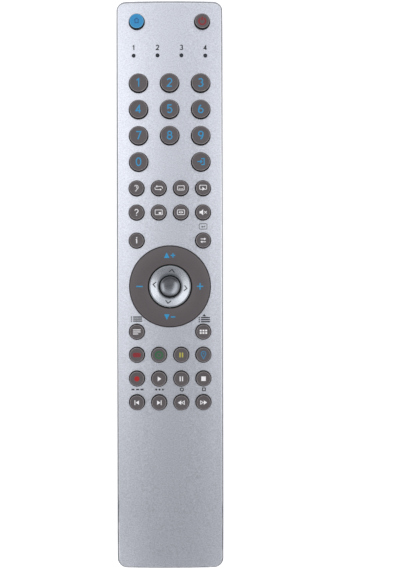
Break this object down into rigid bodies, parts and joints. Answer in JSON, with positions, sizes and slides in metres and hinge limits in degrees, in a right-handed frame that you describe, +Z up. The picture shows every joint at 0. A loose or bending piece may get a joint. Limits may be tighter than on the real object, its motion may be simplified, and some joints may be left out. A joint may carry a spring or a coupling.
{
  "type": "television remote control",
  "caption": "Slim handheld remote control: crowned silver face, round keys, tilting rocker ring around an OK knob, dark stepped back, sliding battery door.",
  "frame": {"origin": "on the table, under the middle of the handset as it lies on its back", "axes": "+X to the right as the keys are read, +Y to the infrared end, +Z up through the keys"},
  "size_m": [0.0448, 0.24, 0.0213],
  "materials": {
    "silver_cover": "silver metallic lacquer on ABS, satin",
    "dark_case": "fine spark-eroded texture on dark grey ABS",
    "smoked_window": "smoked infrared-pass acrylic, polished",
    "grey_key": "warm grey keys, satin",
    "blue_key": "bright blue key, satin",
    "silver_dish": "satin metallised plastic",
    "grey_knob": "dark metallic lacquer",
    "clear_lens": "clear light guide",
    "ir_lamp": "dark blue epoxy lens",
    "silicone": "grey silicone, matte",
    "carbon_rubber": "conductive carbon rubber",
    "circuit_board": "green solder mask on laminate",
    "black_switch": "black moulded epoxy",
    "cell_jacket": "plain printed cell jacket",
    "steel": "nickel-plated steel"
  },
  "bodies": {
    "root": {"front_cover": "silver_cover", "rear_housing": "dark_case", "ir_window": "smoked_window", "main_board": "circuit_board", "keypad_mat": "silicone", "carbon_contacts": "carbon_rubber", "nav_dish": "silver_dish", "nav_switch": "black_switch", "indicator_light_pipes": "clear_lens", "indicator_leds": "clear_lens", "ir_leds": "ir_lamp", "controller_chip": "black_switch", "board_components": "black_switch", "batteries": "cell_jacket", "battery_contacts": "steel", "battery_springs": "steel", "screws": "steel"},
    "battery_door": {"battery_door": "dark_case"},
    "rocker_tilt_ring": {"rocker_tilt_ring": "steel"},
    "rocker_ring": {"rocker_ring": "grey_key"},
    "nav_gimbal": {"nav_gimbal": "steel"},
    "nav_stem": {"nav_stem": "steel"},
    "nav_knob": {"nav_knob": "grey_knob"},
    "blue_key": {"blue_key": "blue_key"},
    "power_key": {"power_key": "grey_key"},
    "number_1_key": {"number_1_key": "grey_key"},
    "number_2_key": {"number_2_key": "grey_key"},
    "number_3_key": {"number_3_key": "grey_key"},
    "number_4_key": {"number_4_key": "grey_key"},
    "number_5_key": {"number_5_key": "grey_key"},
    "number_6_key": {"number_6_key": "grey_key"},
    "number_7_key": {"number_7_key": "grey_key"},
    "number_8_key": {"number_8_key": "grey_key"},
    "number_9_key": {"number_9_key": "grey_key"},
    "number_0_key": {"number_0_key": "grey_key"},
    "source_key": {"source_key": "grey_key"},
    "language_key": {"language_key": "grey_key"},
    "repeat_key": {"repeat_key": "grey_key"},
    "subtitle_key": {"subtitle_key": "grey_key"},
    "select_key": {"select_key": "grey_key"},
    "help_key": {"help_key": "grey_key"},
    "picture_in_picture_key": {"picture_in_picture_key": "grey_key"},
    "format_key": {"format_key": "grey_key"},
    "mute_key": {"mute_key": "grey_key"},
    "info_key": {"info_key": "grey_key"},
    "swap_key": {"swap_key": "grey_key"},
    "text_key": {"text_key": "grey_key"},
    "guide_key": {"guide_key": "grey_key"},
    "red_key": {"red_key": "grey_key"},
    "green_key": {"green_key": "grey_key"},
    "yellow_key": {"yellow_key": "grey_key"},
    "cyan_key": {"cyan_key": "grey_key"},
    "record_key": {"record_key": "grey_key"},
    "play_key": {"play_key": "grey_key"},
    "pause_key": {"pause_key": "grey_key"},
    "stop_key": {"stop_key": "grey_key"},
    "previous_key": {"previous_key": "grey_key"},
    "next_key": {"next_key": "grey_key"},
    "rewind_key": {"rewind_key": "grey_key"},
    "forward_key": {"forward_key": "grey_key"}
  },
  "joints": [
    {"name": "blue_key_press", "type": "slide", "parent": "root", "child": "blue_key", "axis": [0, 0, -1], "range_m": [0, 0.0008], "stiffness_N_per_m": 300, "springref_m": -0.0005, "deforming": ["keypad_mat"]},
    {"name": "power_key_press", "type": "slide", "parent": "root", "child": "power_key", "axis": [0, 0, -1], "range_m": [0, 0.0008], "stiffness_N_per_m": 300, "springref_m": -0.0005, "deforming": ["keypad_mat"]},
    {"name": "number_1_key_press", "type": "slide", "parent": "root", "child": "number_1_key", "axis": [0, 0, -1], "range_m": [0, 0.0008], "stiffness_N_per_m": 300, "springref_m": -0.0005, "deforming": ["keypad_mat"]},
    {"name": "number_2_key_press", "type": "slide", "parent": "root", "child": "number_2_key", "axis": [0, 0, -1], "range_m": [0, 0.0008], "stiffness_N_per_m": 300, "springref_m": -0.0005, "deforming": ["keypad_mat"]},
    {"name": "number_3_key_press", "type": "slide", "parent": "root", "child": "number_3_key", "axis": [0, 0, -1], "range_m": [0, 0.0008], "stiffness_N_per_m": 300, "springref_m": -0.0005, "deforming": ["keypad_mat"]},
    {"name": "number_4_key_press", "type": "slide", "parent": "root", "child": "number_4_key", "axis": [0, 0, -1], "range_m": [0, 0.0008], "stiffness_N_per_m": 300, "springref_m": -0.0005, "deforming": ["keypad_mat"]},
    {"name": "number_5_key_press", "type": "slide", "parent": "root", "child": "number_5_key", "axis": [0, 0, -1], "range_m": [0, 0.0008], "stiffness_N_per_m": 300, "springref_m": -0.0005, "deforming": ["keypad_mat"]},
    {"name": "number_6_key_press", "type": "slide", "parent": "root", "child": "number_6_key", "axis": [0, 0, -1], "range_m": [0, 0.0008], "stiffness_N_per_m": 300, "springref_m": -0.0005, "deforming": ["keypad_mat"]},
    {"name": "number_7_key_press", "type": "slide", "parent": "root", "child": "number_7_key", "axis": [0, 0, -1], "range_m": [0, 0.0008], "stiffness_N_per_m": 300, "springref_m": -0.0005, "deforming": ["keypad_mat"]},
    {"name": "number_8_key_press", "type": "slide", "parent": "root", "child": "number_8_key", "axis": [0, 0, -1], "range_m": [0, 0.0008], "stiffness_N_per_m": 300, "springref_m": -0.0005, "deforming": ["keypad_mat"]},
    {"name": "number_9_key_press", "type": "slide", "parent": "root", "child": "number_9_key", "axis": [0, 0, -1], "range_m": [0, 0.0008], "stiffness_N_per_m": 300, "springref_m": -0.0005, "deforming": ["keypad_mat"]},
    {"name": "number_0_key_press", "type": "slide", "parent": "root", "child": "number_0_key", "axis": [0, 0, -1], "range_m": [0, 0.0008], "stiffness_N_per_m": 300, "springref_m": -0.0005, "deforming": ["keypad_mat"]},
    {"name": "source_key_press", "type": "slide", "parent": "root", "child": "source_key", "axis": [0, 0, -1], "range_m": [0, 0.0008], "stiffness_N_per_m": 300, "springref_m": -0.0005, "deforming": ["keypad_mat"]},
    {"name": "language_key_press", "type": "slide", "parent": "root", "child": "language_key", "axis": [0, 0, -1], "range_m": [0, 0.0008], "stiffness_N_per_m": 300, "springref_m": -0.0005, "deforming": ["keypad_mat"]},
    {"name": "repeat_key_press", "type": "slide", "parent": "root", "child": "repeat_key", "axis": [0, 0, -1], "range_m": [0, 0.0008], "stiffness_N_per_m": 300, "springref_m": -0.0005, "deforming": ["keypad_mat"]},
    {"name": "subtitle_key_press", "type": "slide", "parent": "root", "child": "subtitle_key", "axis": [0, 0, -1], "range_m": [0, 0.0008], "stiffness_N_per_m": 300, "springref_m": -0.0005, "deforming": ["keypad_mat"]},
    {"name": "select_key_press", "type": "slide", "parent": "root", "child": "select_key", "axis": [0, 0, -1], "range_m": [0, 0.0008], "stiffness_N_per_m": 300, "springref_m": -0.0005, "deforming": ["keypad_mat"]},
    {"name": "help_key_press", "type": "slide", "parent": "root", "child": "help_key", "axis": [0, 0, -1], "range_m": [0, 0.0008], "stiffness_N_per_m": 300, "springref_m": -0.0005, "deforming": ["keypad_mat"]},
    {"name": "picture_in_picture_key_press", "type": "slide", "parent": "root", "child": "picture_in_picture_key", "axis": [0, 0, -1], "range_m": [0, 0.0008], "stiffness_N_per_m": 300, "springref_m": -0.0005, "deforming": ["keypad_mat"]},
    {"name": "format_key_press", "type": "slide", "parent": "root", "child": "format_key", "axis": [0, 0, -1], "range_m": [0, 0.0008], "stiffness_N_per_m": 300, "springref_m": -0.0005, "deforming": ["keypad_mat"]},
    {"name": "mute_key_press", "type": "slide", "parent": "root", "child": "mute_key", "axis": [0, 0, -1], "range_m": [0, 0.0008], "stiffness_N_per_m": 300, "springref_m": -0.0005, "deforming": ["keypad_mat"]},
    {"name": "info_key_press", "type": "slide", "parent": "root", "child": "info_key", "axis": [0, 0, -1], "range_m": [0, 0.0008], "stiffness_N_per_m": 300, "springref_m": -0.0005, "deforming": ["keypad_mat"]},
    {"name": "swap_key_press", "type": "slide", "parent": "root", "child": "swap_key", "axis": [0, 0, -1], "range_m": [0, 0.0008], "stiffness_N_per_m": 300, "springref_m": -0.0005, "deforming": ["keypad_mat"]},
    {"name": "text_key_press", "type": "slide", "parent": "root", "child": "text_key", "axis": [0, 0, -1], "range_m": [0, 0.0008], "stiffness_N_per_m": 300, "springref_m": -0.0005, "deforming": ["keypad_mat"]},
    {"name": "guide_key_press", "type": "slide", "parent": "root", "child": "guide_key", "axis": [0, 0, -1], "range_m": [0, 0.0008], "stiffness_N_per_m": 300, "springref_m": -0.0005, "deforming": ["keypad_mat"]},
    {"name": "red_key_press", "type": "slide", "parent": "root", "child": "red_key", "axis": [0, 0, -1], "range_m": [0, 0.0008], "stiffness_N_per_m": 300, "springref_m": -0.0005, "deforming": ["keypad_mat"]},
    {"name": "green_key_press", "type": "slide", "parent": "root", "child": "green_key", "axis": [0, 0, -1], "range_m": [0, 0.0008], "stiffness_N_per_m": 300, "springref_m": -0.0005, "deforming": ["keypad_mat"]},
    {"name": "yellow_key_press", "type": "slide", "parent": "root", "child": "yellow_key", "axis": [0, 0, -1], "range_m": [0, 0.0008], "stiffness_N_per_m": 300, "springref_m": -0.0005, "deforming": ["keypad_mat"]},
    {"name": "cyan_key_press", "type": "slide", "parent": "root", "child": "cyan_key", "axis": [0, 0, -1], "range_m": [0, 0.0008], "stiffness_N_per_m": 300, "springref_m": -0.0005, "deforming": ["keypad_mat"]},
    {"name": "record_key_press", "type": "slide", "parent": "root", "child": "record_key", "axis": [0, 0, -1], "range_m": [0, 0.0008], "stiffness_N_per_m": 300, "springref_m": -0.0005, "deforming": ["keypad_mat"]},
    {"name": "play_key_press", "type": "slide", "parent": "root", "child": "play_key", "axis": [0, 0, -1], "range_m": [0, 0.0008], "stiffness_N_per_m": 300, "springref_m": -0.0005, "deforming": ["keypad_mat"]},
    {"name": "pause_key_press", "type": "slide", "parent": "root", "child": "pause_key", "axis": [0, 0, -1], "range_m": [0, 0.0008], "stiffness_N_per_m": 300, "springref_m": -0.0005, "deforming": ["keypad_mat"]},
    {"name": "stop_key_press", "type": "slide", "parent": "root", "child": "stop_key", "axis": [0, 0, -1], "range_m": [0, 0.0008], "stiffness_N_per_m": 300, "springref_m": -0.0005, "deforming": ["keypad_mat"]},
    {"name": "previous_key_press", "type": "slide", "parent": "root", "child": "previous_key", "axis": [0, 0, -1], "range_m": [0, 0.0008], "stiffness_N_per_m": 300, "springref_m": -0.0005, "deforming": ["keypad_mat"]},
    {"name": "next_key_press", "type": "slide", "parent": "root", "child": "next_key", "axis": [0, 0, -1], "range_m": [0, 0.0008], "stiffness_N_per_m": 300, "springref_m": -0.0005, "deforming": ["keypad_mat"]},
    {"name": "rewind_key_press", "type": "slide", "parent": "root", "child": "rewind_key", "axis": [0, 0, -1], "range_m": [0, 0.0008], "stiffness_N_per_m": 300, "springref_m": -0.0005, "deforming": ["keypad_mat"]},
    {"name": "forward_key_press", "type": "slide", "parent": "root", "child": "forward_key", "axis": [0, 0, -1], "range_m": [0, 0.0008], "stiffness_N_per_m": 300, "springref_m": -0.0005, "deforming": ["keypad_mat"]},
    {"name": "rocker_side_tilt", "type": "hinge", "parent": "root", "child": "rocker_tilt_ring", "pos_m": [0, -0.00085, 0.0132], "axis": [0, 1, 0], "range_deg": [-1.8, 1.8], "stiffness_Nm_per_rad": 0.2, "deforming": ["keypad_mat"]},
    {"name": "rocker_up_down_tilt", "type": "hinge", "parent": "rocker_tilt_ring", "child": "rocker_ring", "pos_m": [0, -0.00085, 0.0132], "axis": [1, 0, 0], "range_deg": [-1.8, 1.8], "stiffness_Nm_per_rad": 0.2, "deforming": ["keypad_mat"]},
    {"name": "knob_up_down_tilt", "type": "hinge", "parent": "root", "child": "nav_gimbal", "pos_m": [0, -0.00085, 0.0132], "axis": [1, 0, 0], "range_deg": [-3, 3], "stiffness_Nm_per_rad": 0.01},
    {"name": "knob_side_tilt", "type": "hinge", "parent": "nav_gimbal", "child": "nav_stem", "pos_m": [0, -0.00085, 0.0132], "axis": [0, 1, 0], "range_deg": [-3, 3], "stiffness_Nm_per_rad": 0.01},
    {"name": "knob_press", "type": "slide", "parent": "nav_stem", "child": "nav_knob", "axis": [0, 0, -1], "range_m": [0, 0.0005], "stiffness_N_per_m": 400, "springref_m": -0.0005},
    {"name": "battery_door_slide", "type": "slide", "parent": "root", "child": "battery_door", "axis": [0, -1, 0], "range_m": [0, 0.066]}
  ]
}
